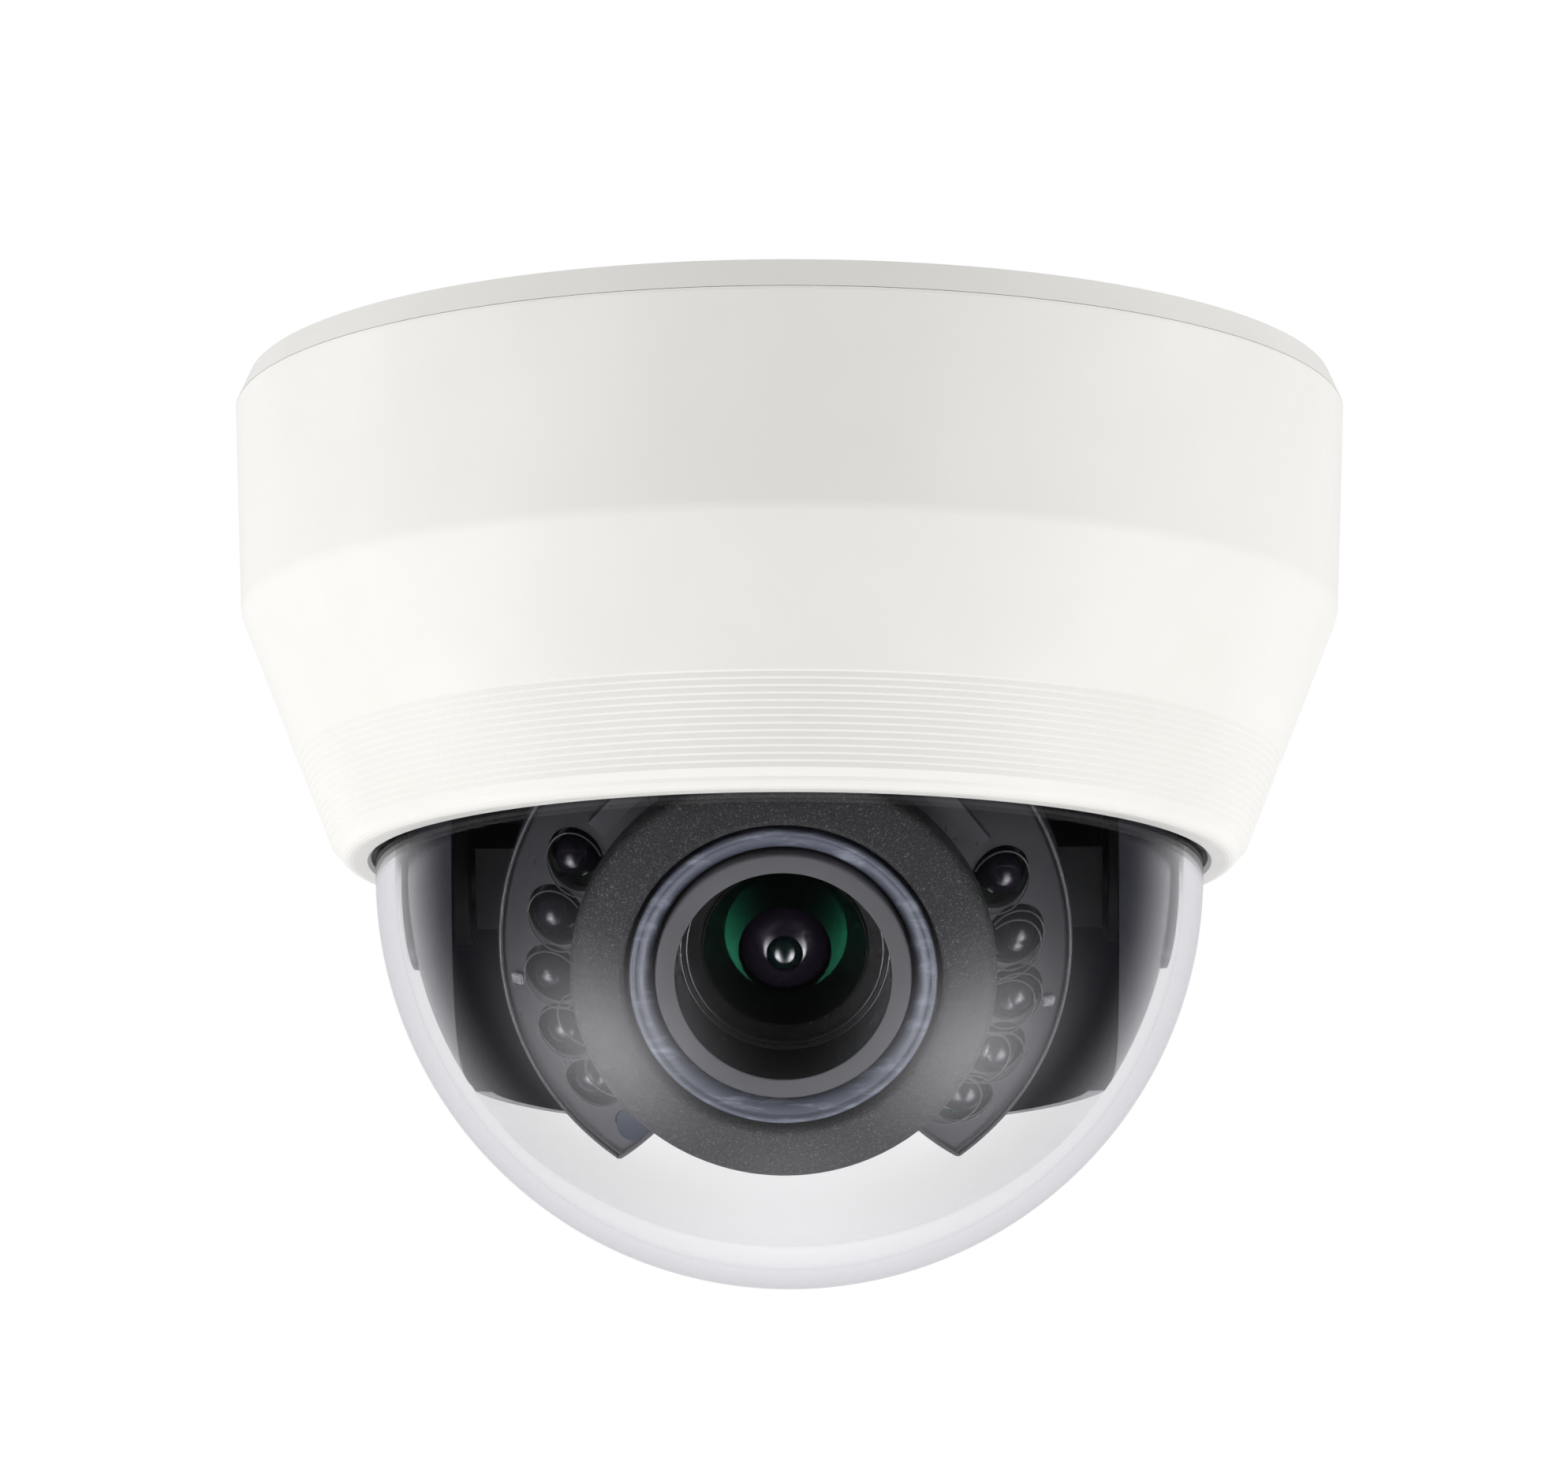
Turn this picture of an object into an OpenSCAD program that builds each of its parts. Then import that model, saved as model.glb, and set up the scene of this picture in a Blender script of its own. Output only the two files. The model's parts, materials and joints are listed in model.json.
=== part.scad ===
// Ceiling dome camera: a varifocal lens and an infrared LED ring on a three-axis
// gimbal, behind a clear dome in a conical housing.
// Origin at the centre of the ceiling face, +Z up, the lens looks towards -Y.

/* [Housing] */
// Widest diameter, at the joint line between base and housing
body_d = 120; // [116:1:150]
// Height from the ceiling to the lower lip of the housing
shell_h = 52.3; // [52:0.1:66]
// Height of the base's own chamfered rim
rim_h = 3; // [2:0.1:4]
// How far the rim draws in at the ceiling
rim_chamfer = 1.3; // [0.5:0.1:2]
// Height from the ceiling to the shoulder where the cone starts
shoulder_h = 25.4; // [22:0.1:30]
// How far the upright wall draws in down to the shoulder
side_draft = 0.84; // [0.3:0.02:2]
// Wall of the housing
shell_wall = 2.2; // [1.8:0.1:3]
// Radius of the soft edge at the shoulder
shoulder_round = 4; // [1:0.5:6]
// Radius of the soft edge at the lip
lip_round = 1.7; // [0.8:0.1:2]
// Number of fine steps around the foot of the cone
rib_count = 13; // [4:1:16]
// Height of one step
rib_pitch = 0.72; // [0.5:0.01:0.9]
// Depth of one step
rib_depth = 0.2; // [0.1:0.01:0.4]
// Height from the lowest step to the lip
rib_foot = 1.9; // [1.8:0.1:4]

/* [Dome] */
// Wall of the clear dome
dome_wall = 2; // [1.5:0.1:3]
// How far the centre of the dome lies below the lip
dome_drop = 1.1; // [0.5:0.1:3]
// Free gap between the black liner and the dome
dome_gap = 1.4; // [1.2:0.1:3]
// Width of the dome's flange
flange_w = 2.6; // [2:0.1:3]
// Thickness of the dome's flange
flange_t = 2; // [1.2:0.1:3]
// Thickness of the rubber seal under the flange
seal_t = 0.8; // [0.5:0.1:1.5]

/* [Base] */
// Thickness of the base's floor
floor_t = 3; // [2.5:0.5:4]
// Height of the collar that centres the housing
collar_h = 6; // [4:0.5:8]
// Wall of that collar
collar_wall = 1.8; // [1.4:0.1:2.5]
// Radius of the cable hole through the base and its hub
cable_r = 9.5; // [6:0.5:10]
// Outer radius of the hub that the camera turns on
hub_r = 13; // [12.5:0.5:16]
// Pitch circle of the three ceiling screws
screw_pcd = 98; // [96:1:102]
// Spacing of the two screws for a single-gang box
gang_spacing = 83.5; // [80:0.1:86]
// Radius of the ceiling screw holes
screw_hole_r = 2.2; // [1.8:0.1:2.5]
// Thickness of the circuit boards
board_t = 1.6; // [1:0.1:2]
// Height of the posts under the main board
post_h = 3; // [2:0.5:5]

/* [Gimbal] */
// How far the camera is turned about the vertical as it stands
pan_rest = -1.2; // [-3:0.1:3]
// How far the lens dips below the horizontal as it stands
tilt_rest = 27; // [23:1:40]
// How far the lens head is rolled clockwise, seen from the front
roll_rest = 2.7; // [-10:0.1:10]
// Thickness of the turntable
table_t = 2; // [1.5:0.1:3]
// Thickness of the yoke
yoke_t = 1.5; // [1:0.1:2]
// Thickness of one yoke arm
arm_t = 2.5; // [2:0.1:3]
// Width of one yoke arm
arm_w = 15; // [12:1:16]
// Wall of the black liner
liner_wall = 1.5; // [1:0.1:2]
// How far the liner reaches below the centre of the dome
liner_drop = 23.4; // [20:0.1:26]
// How far the slot in the liner reaches above the centre of the dome
slot_rise = 12; // [10:0.5:16]
// Radius of the tilt pivots
pivot_r = 3; // [2.5:0.1:4]
// Running clearance of turning and sliding fits, on the radius
run_gap = 0.05; // [0.02:0.01:0.09]

/* [Lens head] */
// Radius of the sphere that the LED cover follows, about the centre of the dome
led_sphere_r = 36.8; // [36:0.1:45]
// Outer radius of the LED ring about the lens
led_ring_r = 29.5; // [28.5:0.1:30]
// Wall of the LED cover
led_cover_wall = 1.2; // [1:0.1:1.6]
// Pitch radius of the LEDs
led_pitch_r = 23.7; // [23.5:0.1:25]
// Radius of one LED
led_r = 2.5; // [1.5:0.1:2.6]
// Radius of the holes in the LED cover
led_hole_r = 3; // [2.8:0.1:3.2]
// Number of LEDs on each side
led_count = 5; // [3:1:6]
// Angle between LEDs
led_step = 15.2; // [15:0.1:16]
// Angle of the highest LED above the lens
led_top_angle = 24.1; // [20:0.1:30]
// Outer radius of the foam light shield
shield_r = 21.7; // [20.5:0.1:22]
// How far the front of the foam lies inside the sphere of the LED cover
shield_sink = 1.9; // [1.8:0.1:3.8]
// Thickness of the foam
shield_t = 4.6; // [3:0.1:5]
// Outer radius of the rubber hood ring
hood_r = 15.7; // [15.5:0.1:17]
// Outer radius of the lens's front bezel
bezel_r = 13.05; // [12.8:0.05:13.6]
// Radius of the lens opening
lens_open_r = 11.05; // [10:0.05:11.2]
// How far the bezel lies behind the front of the foam
bezel_sink = 0.7; // [0.5:0.1:2.9]
// Depth of the glass behind the bezel
glass_depth = 9.7; // [6:0.1:11]
// Outer radius of the lens barrel
barrel_r = 12; // [11.5:0.1:12.4]
// Wall of the lens barrel
barrel_wall = 1.3; // [1:0.1:1.6]
// Width and height of the sensor board
sensor_board_w = 32; // [28:1:34]

/* [Hidden] */
$fn = 96;
eps = 0.02;

// Gaps
part_gap = 0.3;
seat_gap = 0.1;
swing_gap = 2.7;

// Screws
screw_r = 1;
screw_head_r = 1.9;
screw_head_h = 1.1;

// Gimbal sizes, from the lens head outwards
liner_in_r = led_sphere_r + swing_gap;
liner_r = liner_in_r + liner_wall;
tab_t = 1;
tab_w = 6;
tab_drop = 10.3;
tab_rise = 4;
dome_in_r = liner_r + dome_gap;
dome_r = dome_in_r + dome_wall;
centre_z = -(shell_h + dome_drop);
slot_w = 2 * (led_ring_r + 4.6);

// Lens head places, along the lens from the centre of the dome
shield_front = led_sphere_r - shield_sink;
bezel_front = shield_front - bezel_sink;
shield_back = shield_front - shield_t;
cover_seat_t = 1.4;
led_board_front = sqrt(pow(led_sphere_r - led_cover_wall, 2) - pow(led_ring_r - 1.1, 2)) - 0.4;
led_board_r = led_ring_r - 1.7;
led_board_in_r = 19.5;
led_tip = sqrt(pow(led_sphere_r, 2) - pow(led_pitch_r, 2)) + 0.3;
holder_r = barrel_r + 5;
holder_in_r = barrel_r + 2.6;
holder_back = -10;
holder_front = 6;
flange_r = holder_r + 3;
cradle_half = 4.5;
clip_t = 1;
clip_z = -cradle_half - 0.4 - clip_t;
sensor_board_z = -14.2;
filter_w = 8;
carrier_w = 9.6;
filter_travel = 10;
frame_margin = 1.2;
frame_t = 3.2;
rear_reach = sqrt(pow(sensor_board_w * sqrt(2) / 2, 2) + pow(sensor_board_z - board_t, 2));

// Zoom and focus rings: where each starts and ends along the lens
zoom_z = [holder_front + 1.2, 10.9];
focus_z = [12.5, 22];
focus_flange = 2.4;
focus_travel = 1.2;
lock_angle = 90;

// Sliding front of the lens
glass_front = bezel_front - glass_depth;
cell_step = glass_front - 3.3;
barrel_front = cell_step - focus_travel - part_gap;
skirt_back = focus_z[0] + focus_flange + focus_travel + part_gap;
bracket_screw_angles = [30, 150, 270];

// Gimbal places
cradle_end = led_ring_r + 3.9;
arm_in = cradle_end + 0.6;
arm_out = arm_in + arm_t;
table_bottom = centre_z + rear_reach + 1.6;
table_top = table_bottom + table_t;
retainer_t = 1.2;
hub_bottom = table_bottom - part_gap;
table_r = liner_in_r - seat_gap;
yoke_r = arm_out;

// Housing outline
body_r = body_d / 2;
shoulder_r = body_r - side_draft;
opening_r = dome_r + 0.5;
shelf_r = dome_r + flange_w + 0.2;
lip_r = shelf_r + 1.3;
rib_top_h = rib_foot + rib_count * rib_pitch;
cone_slope = (shoulder_r - lip_r) / (shell_h - shoulder_h);
shelf_z = -(shell_h - 1.7);
flange_bottom = shelf_z + seal_t;
flange_top = flange_bottom + flange_t;
clamp_top = flange_top + 12;
clamp_wall = 1.8;
ear_t = 2;
collar_r = body_r - shell_wall - 0.75;

// Main board
board_z = -(floor_t + post_h + board_t);
board_w = 72;
board_y = [17, 49];
post_spots = [[-31, 21.5], [31, 21.5], [-19, 45], [19, 45]];
socket_size = [21, 16, 13.5];
socket_spot = [-10, 28];
plug_size = [14, 11.8, 7.5];

function cone_r(h) = shoulder_r - cone_slope * (h - shoulder_h);
ear_r = 2.3;
clamp_screw_r = cone_r(ear_t - clamp_top) - shell_wall - ear_r - 0.2;
function wall_r(h) = body_r - side_draft * (h - rim_h) / (shoulder_h - rim_h);
function arc_points(x, z, r, from, to, steps) =
    [for (i = [0:steps]) let (a = from + (to - from) * i / steps) [x + r * cos(a), z + r * sin(a)]];
function polar(r, a) = [r * cos(a), r * sin(a)];

module ring(r_in, r_out, z0, z1) {
    rotate_extrude() translate([r_in, z0]) square([r_out - r_in, z1 - z0]);
}

module disc(r, z0, z1) {
    translate([0, 0, z0]) cylinder(r = r, h = z1 - z0);
}

// A band cut to the angles between two directions, seen along +Z
module sector(r, from, to, z0, z1) {
    steps = 12;
    outline = [for (i = [0:steps]) polar(r, from + (to - from) * i / steps)];
    translate([0, 0, z0]) linear_extrude(z1 - z0) polygon(concat([[0, 0]], outline));
}

// A pan-head screw pointing down -Z, its head seated at z = 0
module screw(length) {
    disc(screw_head_r, 0, screw_head_h);
    disc(screw_r, -length, eps);
}

module on_pan() {
    rotate([0, 0, pan_rest]) children();
}

module on_tilt() {
    translate([0, 0, centre_z]) rotate([90 + tilt_rest, 0, pan_rest]) children();
}

module on_roll() {
    on_tilt() rotate([0, 0, -roll_rest]) children();
}

// ---------------------------------------------------------------- fixed base

module mounting_base() {
    color("whitesmoke") {
        difference() {
            rotate_extrude() polygon([
                [hub_r, 0], [body_r - rim_chamfer, 0], [body_r, -rim_h],
                [collar_r, -rim_h], [collar_r, -rim_h - collar_h],
                [collar_r - collar_wall, -rim_h - collar_h], [collar_r - collar_wall, -floor_t],
                [hub_r, -floor_t]
            ]);
            for (a = [30, 150, 270]) rotate([0, 0, a]) translate([screw_pcd / 2, 0, 0]) ceiling_hole();
            for (x = [-1, 1]) translate([x * gang_spacing / 2, 0, 0]) ceiling_hole();
            for (p = post_spots) translate([p.x, p.y, 0]) disc(screw_r, -floor_t, -1);
        }
        for (p = post_spots) translate([p.x, p.y, 0]) ring(screw_r, 3, board_z + board_t, -floor_t + eps);
        // Spring tabs that grip the housing
        for (a = [90, 210, 330]) rotate([0, 0, a])
            intersection() {
                ring(collar_r - collar_wall, collar_r - 0.3, -rim_h - collar_h - 5, -rim_h - collar_h + eps);
                translate([collar_r, 0, -rim_h - collar_h - 5]) cube([8, 12, 20], center = true);
            }
    }
}

// Tube pressed into the base, which carries the turntable
module pan_hub() {
    color("whitesmoke") difference() {
        ring(cable_r, hub_r, hub_bottom, 0);
        for (a = [30, 150, 270]) rotate([0, 0, a])
            translate([(cable_r + hub_r) / 2, 0, 0]) disc(screw_r, hub_bottom - 1, hub_bottom + 7);
    }
}

module ceiling_hole() {
    disc(screw_hole_r, -floor_t - 1, 1);
}

module main_board() {
    color("darkgreen") difference() {
        intersection() {
            translate([-board_w / 2, board_y[0], board_z]) cube([board_w, board_y[1] - board_y[0], board_t]);
            disc(51, board_z - 1, 0);
        }
        for (p = post_spots) translate([p.x, p.y, 0]) disc(screw_r + 0.1, board_z - 1, 0);
    }
}

module processor() {
    color("dimgray") {
        translate([14, 18.5, board_z - 1.5]) cube([14, 14, 1.5]);
        translate([-28, 31, board_z - 1.2]) cube([11, 8, 1.2]);
    }
}

module network_socket() {
    color("silver") translate([socket_spot.x, socket_spot.y, board_z - socket_size.z]) difference() {
        cube(socket_size);
        translate([-1, (socket_size.y - plug_size.y) / 2, 3]) cube([plug_size.x + 1, plug_size.y, plug_size.z]);
    }
}

module power_terminal() {
    color("green") translate([14, 34.5, board_z - 9]) difference() {
        cube([10.2, 8, 9]);
        for (x = [2.55, 7.65]) {
            translate([x, -1, 3.6]) rotate([-90, 0, 0]) cylinder(r = 1.5, h = 6);
            translate([x, 4, -1]) cylinder(r = 1.6, h = 3);
        }
    }
}

module card_socket() {
    color("lightgray") translate([-28, 18.5, board_z - 1.9]) difference() {
        cube([15, 11.5, 1.9]);
        translate([2, -1, 0.4]) cube([11, 11, 0.9]);
    }
}

module board_screws() {
    color("silver") for (p = post_spots)
        translate([p.x, p.y, board_z]) mirror([0, 0, 1]) screw(board_t + post_h + 1);
}

module pan_retainer() {
    color("silver") difference() {
        ring(cable_r, hub_r + 4, hub_bottom - retainer_t, hub_bottom);
        for (a = [30, 150, 270]) rotate([0, 0, a])
            translate([(cable_r + hub_r) / 2, 0, 0]) disc(screw_r + 0.1, hub_bottom - 3, hub_bottom + 1);
    }
}

module retainer_screws() {
    color("silver") for (a = [30, 150, 270]) rotate([0, 0, a])
        translate([(cable_r + hub_r) / 2, 0, hub_bottom - retainer_t]) mirror([0, 0, 1]) screw(6);
}

// ---------------------------------------------------------------- removable cover

// Outer outline from the joint line down to the lip
function shell_outline() = concat(
    [[body_r, -rim_h - part_gap]],
    arc_points(shoulder_r - shoulder_round, -shoulder_h + 0.8, shoulder_round, 0, -23, 6),
    [for (i = [0:rib_count - 1], side = [0, 1])
        let (h = shell_h - rib_top_h + i * rib_pitch)
        side == 0 ? [cone_r(h), -h] : [cone_r(h) - rib_depth, -h - 0.18]],
    [[cone_r(shell_h - rib_foot), rib_foot - shell_h]],
    arc_points(lip_r - lip_round, -shell_h + lip_round, lip_round, -20, -90, 5)
);

// Solid core of the cone between the flange and the clamp ring's ears
module cone_core() {
    ear_z = clamp_top - ear_t;
    rotate_extrude() polygon([
        [dome_r + clamp_wall + 0.5, flange_top], [cone_r(-flange_top) - 0.6, flange_top],
        [cone_r(-ear_z) - 0.6, ear_z], [dome_r + clamp_wall + 0.5, ear_z]
    ]);
}

module housing() {
    ear_z = clamp_top - ear_t;
    inner_top = wall_r(rim_h) - shell_wall;
    color("whitesmoke") difference() {
        union() {
            rotate_extrude($fn = 144) polygon(concat(
                shell_outline(),
                [[opening_r + 0.4, -shell_h], [opening_r, -shell_h + 0.4], [opening_r, shelf_z],
                 [shelf_r, shelf_z], [shelf_r, flange_top], [cone_r(-ear_z) - shell_wall, ear_z],
                 [shoulder_r - shell_wall, -shoulder_h], [inner_top, -rim_h - part_gap]]
            ));
            // Posts for the clamp ring, blended into the cone
            intersection() {
                for (a = [45:90:315]) rotate([0, 0, a])
                    translate([clamp_screw_r, 0, 0]) disc(ear_r + 0.2, flange_top, ear_z);
                cone_core();
            }
        }
        for (a = [45:90:315]) rotate([0, 0, a])
            translate([clamp_screw_r, 0, 0]) disc(screw_r, ear_z - 6, ear_z + 1);
    }
}

module dome() {
    color("white", 0.3) translate([0, 0, centre_z]) rotate_extrude($fn = 144) {
        difference() {
            circle(r = dome_r);
            circle(r = dome_in_r);
            translate([-2 * dome_r, -2 * dome_r]) square([2 * dome_r, 4 * dome_r]);
            square(2 * dome_r);
        }
        translate([dome_in_r, 0]) square([dome_wall, flange_top - centre_z]);
        translate([dome_in_r, flange_bottom - centre_z]) square([dome_wall + flange_w, flange_t]);
    }
}

module dome_gasket() {
    color("#18181a") rotate_extrude($fn = 144) polygon([
        [dome_r, -shell_h + 0.5], [opening_r, -shell_h + 0.5], [opening_r, shelf_z],
        [shelf_r, shelf_z], [shelf_r, flange_bottom], [dome_r, flange_bottom]
    ]);
}

module clamp_ring() {
    ear_z = clamp_top - ear_t;
    color("#2a2a2e") difference() {
        union() {
            ring(dome_r, dome_r + clamp_wall, flange_top, clamp_top);
            for (a = [45:90:315]) rotate([0, 0, a]) {
                translate([clamp_screw_r, 0, 0]) disc(ear_r, ear_z, clamp_top);
                translate([dome_r + 0.5, -ear_r, ear_z]) cube([clamp_screw_r - dome_r - 0.5, 2 * ear_r, ear_t]);
            }
        }
        for (a = [45:90:315]) rotate([0, 0, a])
            translate([clamp_screw_r, 0, 0]) disc(screw_r + 0.1, ear_z - 1, clamp_top + 1);
    }
}

module clamp_screws() {
    color("silver") for (a = [45:90:315]) rotate([0, 0, a])
        translate([clamp_screw_r, 0, clamp_top]) screw(ear_t + 5);
}

// ---------------------------------------------------------------- pan stage

module pan_table() {
    color("#333338") on_pan() difference() {
        ring(hub_r + run_gap, table_r, table_bottom, table_top);
        for (a = [45:90:315]) rotate([0, 0, a]) translate([(hub_r + yoke_r) / 2 + 3, 0, 0])
            disc(screw_r, table_bottom - 1, table_top + 1);
    }
}

module yoke() {
    foot_in = hub_r + 4.6;
    arm_bottom = centre_z - arm_w / 2;
    color("#3a3a40") on_pan() difference() {
        union() {
            ring(foot_in, yoke_r, table_bottom - yoke_t, table_bottom);
            for (s = [-1, 1]) intersection() {
                union() {
                    translate([s > 0 ? arm_in : -arm_out, -arm_w / 2, centre_z])
                        cube([arm_t, arm_w, table_bottom - centre_z]);
                    translate([s * (arm_in + arm_t / 2), 0, centre_z]) rotate([0, 90, 0])
                        cylinder(r = arm_w / 2, h = arm_t, center = true);
                }
                disc(liner_in_r - 0.6, arm_bottom - 1, table_top);
            }
        }
        translate([0, 0, centre_z]) rotate([0, 90, 0])
            cylinder(r = pivot_r + run_gap, h = 4 * arm_out, center = true);
        for (a = [45:90:315]) rotate([0, 0, a]) translate([(hub_r + yoke_r) / 2 + 3, 0, 0])
            disc(screw_r + 0.1, table_bottom - yoke_t - 1, table_bottom + 1);
    }
}

module yoke_screws() {
    color("silver") on_pan() for (a = [45:90:315]) rotate([0, 0, a])
        translate([(hub_r + yoke_r) / 2 + 3, 0, table_bottom - yoke_t]) mirror([0, 0, 1]) screw(yoke_t + table_t - 0.5);
}

// The black cup that hides the gimbal, open below and slotted in front
module liner() {
    slot_top = centre_z + slot_rise;
    color("#1e1e26") on_pan() difference() {
        union() {
            rotate_extrude($fn = 144) {
                translate([liner_in_r, centre_z]) square([liner_wall, table_top - centre_z]);
                translate([liner_in_r - 1.3, table_bottom - 1.3]) square([1.3 + eps, 1.2]);
                translate([0, centre_z]) difference() {
                    circle(r = liner_r);
                    circle(r = liner_in_r);
                    translate([-2 * liner_r, -2 * liner_r]) square([2 * liner_r, 4 * liner_r]);
                    square(2 * liner_r);
                    translate([0, -liner_drop - 2 * liner_r]) square(2 * liner_r);
                }
            }
            for (s = [0, 180]) rotate([0, 0, s]) side_tab();
        }
        translate([-slot_w / 2, -2 * liner_r, centre_z - 2 * liner_r])
            cube([slot_w, 2 * liner_r, slot_top - centre_z + 2 * liner_r]);
    }
}

// A raised strip down the side of the liner
module side_tab() {
    intersection() {
        rotate_extrude($fn = 144) translate([0, centre_z]) difference() {
            union() {
                circle(r = liner_r + tab_t);
                square([liner_r + tab_t, tab_rise]);
            }
            circle(r = liner_r - 0.3);
            translate([-2 * liner_r, -2 * liner_r]) square([2 * liner_r, 4 * liner_r]);
            square([liner_r - 0.3, 2 * liner_r]);
        }
        union() {
            translate([0, -tab_w / 2, centre_z - tab_drop + tab_w / 2]) cube([2 * liner_r, tab_w, 2 * tab_drop]);
            translate([0, 0, centre_z - tab_drop + tab_w / 2]) rotate([0, 90, 0]) cylinder(d = tab_w, h = 2 * liner_r);
        }
    }
}

// ---------------------------------------------------------------- tilt stage

module tilt_cradle() {
    color("#303036") on_tilt() difference() {
        union() {
            ring(holder_r + run_gap, holder_r + 4, -cradle_half, cradle_half);
            for (s = [0, 180]) rotate([0, 0, s]) {
                translate([holder_r + 2, -cradle_half, -cradle_half])
                    cube([cradle_end - holder_r - 2, 2 * cradle_half, 2 * cradle_half]);
                rotate([0, 90, 0]) disc(pivot_r, cradle_end - eps, arm_out + 0.2);
            }
        }
        disc(holder_r + run_gap, -10, 10);
        rotate([0, 90, 0]) for (s = [0, 180]) rotate([s, 0, 0])
            disc(screw_r, arm_out - 7, arm_out + 1);
    }
}

module tilt_screws() {
    color("silver") on_tilt() for (s = [0, 180]) rotate([0, 0, s]) translate([arm_out + 0.2, 0, 0]) {
        rotate([0, 90, 0]) disc(pivot_r + 1, 0, 1.4);
        rotate([0, 90, 0]) disc(screw_r, -6, eps);
    }
}

// ---------------------------------------------------------------- rolling lens head

module lens_holder() {
    color("#26262b") on_roll() difference() {
        union() {
            ring(holder_in_r, holder_r, holder_back, holder_front);
            ring(barrel_r, flange_r, holder_front - 1.2, holder_front + 0.8);
            ring(barrel_r, holder_r, holder_back, holder_back + 1.5);
            for (a = [45:90:315]) rotate([0, 0, a]) translate([sensor_board_w / 2 * sqrt(2) - 4, 0, 0])
                disc(2.2, sensor_board_z, holder_back + 1.5);
        }
        disc(barrel_r, holder_back - 1, holder_front + 2);
        ring(holder_r - 0.6, holder_r + 1, clip_z - 0.05, clip_z + clip_t + 0.05);
        for (a = [45:90:315]) rotate([0, 0, a]) translate([sensor_board_w / 2 * sqrt(2) - 4, 0, 0])
            disc(screw_r, sensor_board_z - 1, holder_back + 1);
        for (a = bracket_screw_angles) rotate([0, 0, a]) translate([flange_r - 1.6, 0, 0])
            disc(screw_r, holder_front - 3, holder_front + 2);
    }
}

module roll_clip() {
    color("silver") on_roll() ring(holder_r - 0.55, holder_r + 2.4, clip_z, clip_z + clip_t);
}

module lens_barrel() {
    color("#1a1a1e") on_roll() rotate_extrude() polygon([
        [barrel_r - barrel_wall, holder_back], [barrel_r, holder_back],
        [barrel_r, 11.2], [bezel_r + 0.4, 11.2], [bezel_r + 0.4, 12.2],
        [barrel_r, 12.2], [barrel_r, barrel_front], [barrel_r - barrel_wall, barrel_front]
    ]);
}

module rear_lens() {
    color("#101014") on_roll() rotate_extrude() polygon([
        [0, -8.8], [barrel_r - barrel_wall, -8.8], [barrel_r - barrel_wall, -4], [6, -4], [0, -5.6]
    ]);
}

// The frame of the day and night filter sits between lens and sensor
module filter_frame() {
    color("#202024") on_roll() difference() {
        translate([-frame_margin - carrier_w / 2, -8, holder_back - frame_t])
            cube([carrier_w + filter_travel + 2 * frame_margin, 16, frame_t]);
        disc(4.6, holder_back - frame_t - 1, holder_back + 1);
        translate([-carrier_w / 2 - 0.3, -carrier_w / 2 - 0.3, holder_back - 2.4])
            cube([carrier_w + filter_travel + 0.6, carrier_w + 0.6, 1.8]);
    }
}

module sensor_board() {
    color("darkgreen") on_roll() difference() {
        translate([-sensor_board_w / 2, -sensor_board_w / 2, sensor_board_z - board_t])
            cube([sensor_board_w, sensor_board_w, board_t]);
        for (a = [45:90:315]) rotate([0, 0, a]) translate([sensor_board_w / 2 * sqrt(2) - 4, 0, 0])
            disc(screw_r + 0.1, sensor_board_z - board_t - 1, sensor_board_z + 1);
    }
}

module image_sensor() {
    color("#30343c") on_roll() translate([-4.5, -3.5, sensor_board_z]) cube([9, 7, 0.9]);
}

module sensor_screws() {
    color("silver") on_roll() for (a = [45:90:315]) rotate([0, 0, a])
        translate([sensor_board_w / 2 * sqrt(2) - 4, 0, sensor_board_z - board_t])
            mirror([0, 0, 1]) screw(board_t + 3);
}

// Three arms from the holder's flange out to a ring behind the LED board
module led_bracket() {
    back = holder_front + 0.8;
    board_back = led_board_front - board_t;
    color("#2c2c31") on_roll() difference() {
        union() {
            ring(flange_r - 3.2, flange_r, back, back + 1.6);
            intersection() {
                rotate_extrude() polygon([
                    [flange_r - 3.2, back], [flange_r, back],
                    [led_board_r - 1.5, board_back - 2], [led_board_r - 1.5, board_back],
                    [led_board_r - 4.5, board_back], [led_board_r - 4.5, board_back - 2]
                ]);
                union() {
                    for (a = [90, 192, 348]) rotate([0, 0, a])
                        translate([0, -6, back]) cube([led_ring_r, 12, board_back - back]);
                    sector(led_ring_r, -50, 236, board_back - 2, board_back);
                }
            }
        }
        for (a = bracket_screw_angles) rotate([0, 0, a]) translate([flange_r - 1.6, 0, 0])
            disc(screw_r + 0.1, back - 1, back + 3);
    }
}

module bracket_screws() {
    color("silver") on_roll() for (a = bracket_screw_angles) rotate([0, 0, a])
        translate([flange_r - 1.6, 0, holder_front + 0.8 + 1.6]) screw(3.4);
}

module led_board() {
    color("#1f3a2a") on_roll() intersection() {
        ring(led_board_in_r, led_board_r, led_board_front - board_t, led_board_front);
        sector(led_ring_r + 1, -49, 235, led_board_front - board_t - 1, led_board_front + 1);
    }
}

function led_angles(side) =
    [for (i = [0:led_count - 1])
        let (a = led_top_angle - i * led_step) side < 0 ? 180 - a : a];

module leds() {
    color("#15121c") on_roll() for (side = [-1, 1], a = led_angles(side))
        rotate([0, 0, a]) translate([led_pitch_r, 0, 0]) {
            disc(led_r + 0.4, led_board_front, led_board_front + 1);
            disc(led_r, led_board_front, led_tip - led_r);
            translate([0, 0, led_tip - led_r]) sphere(r = led_r, $fn = 48);
        }
}

sensor_angle = 180 - (led_top_angle - led_count * led_step);

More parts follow.
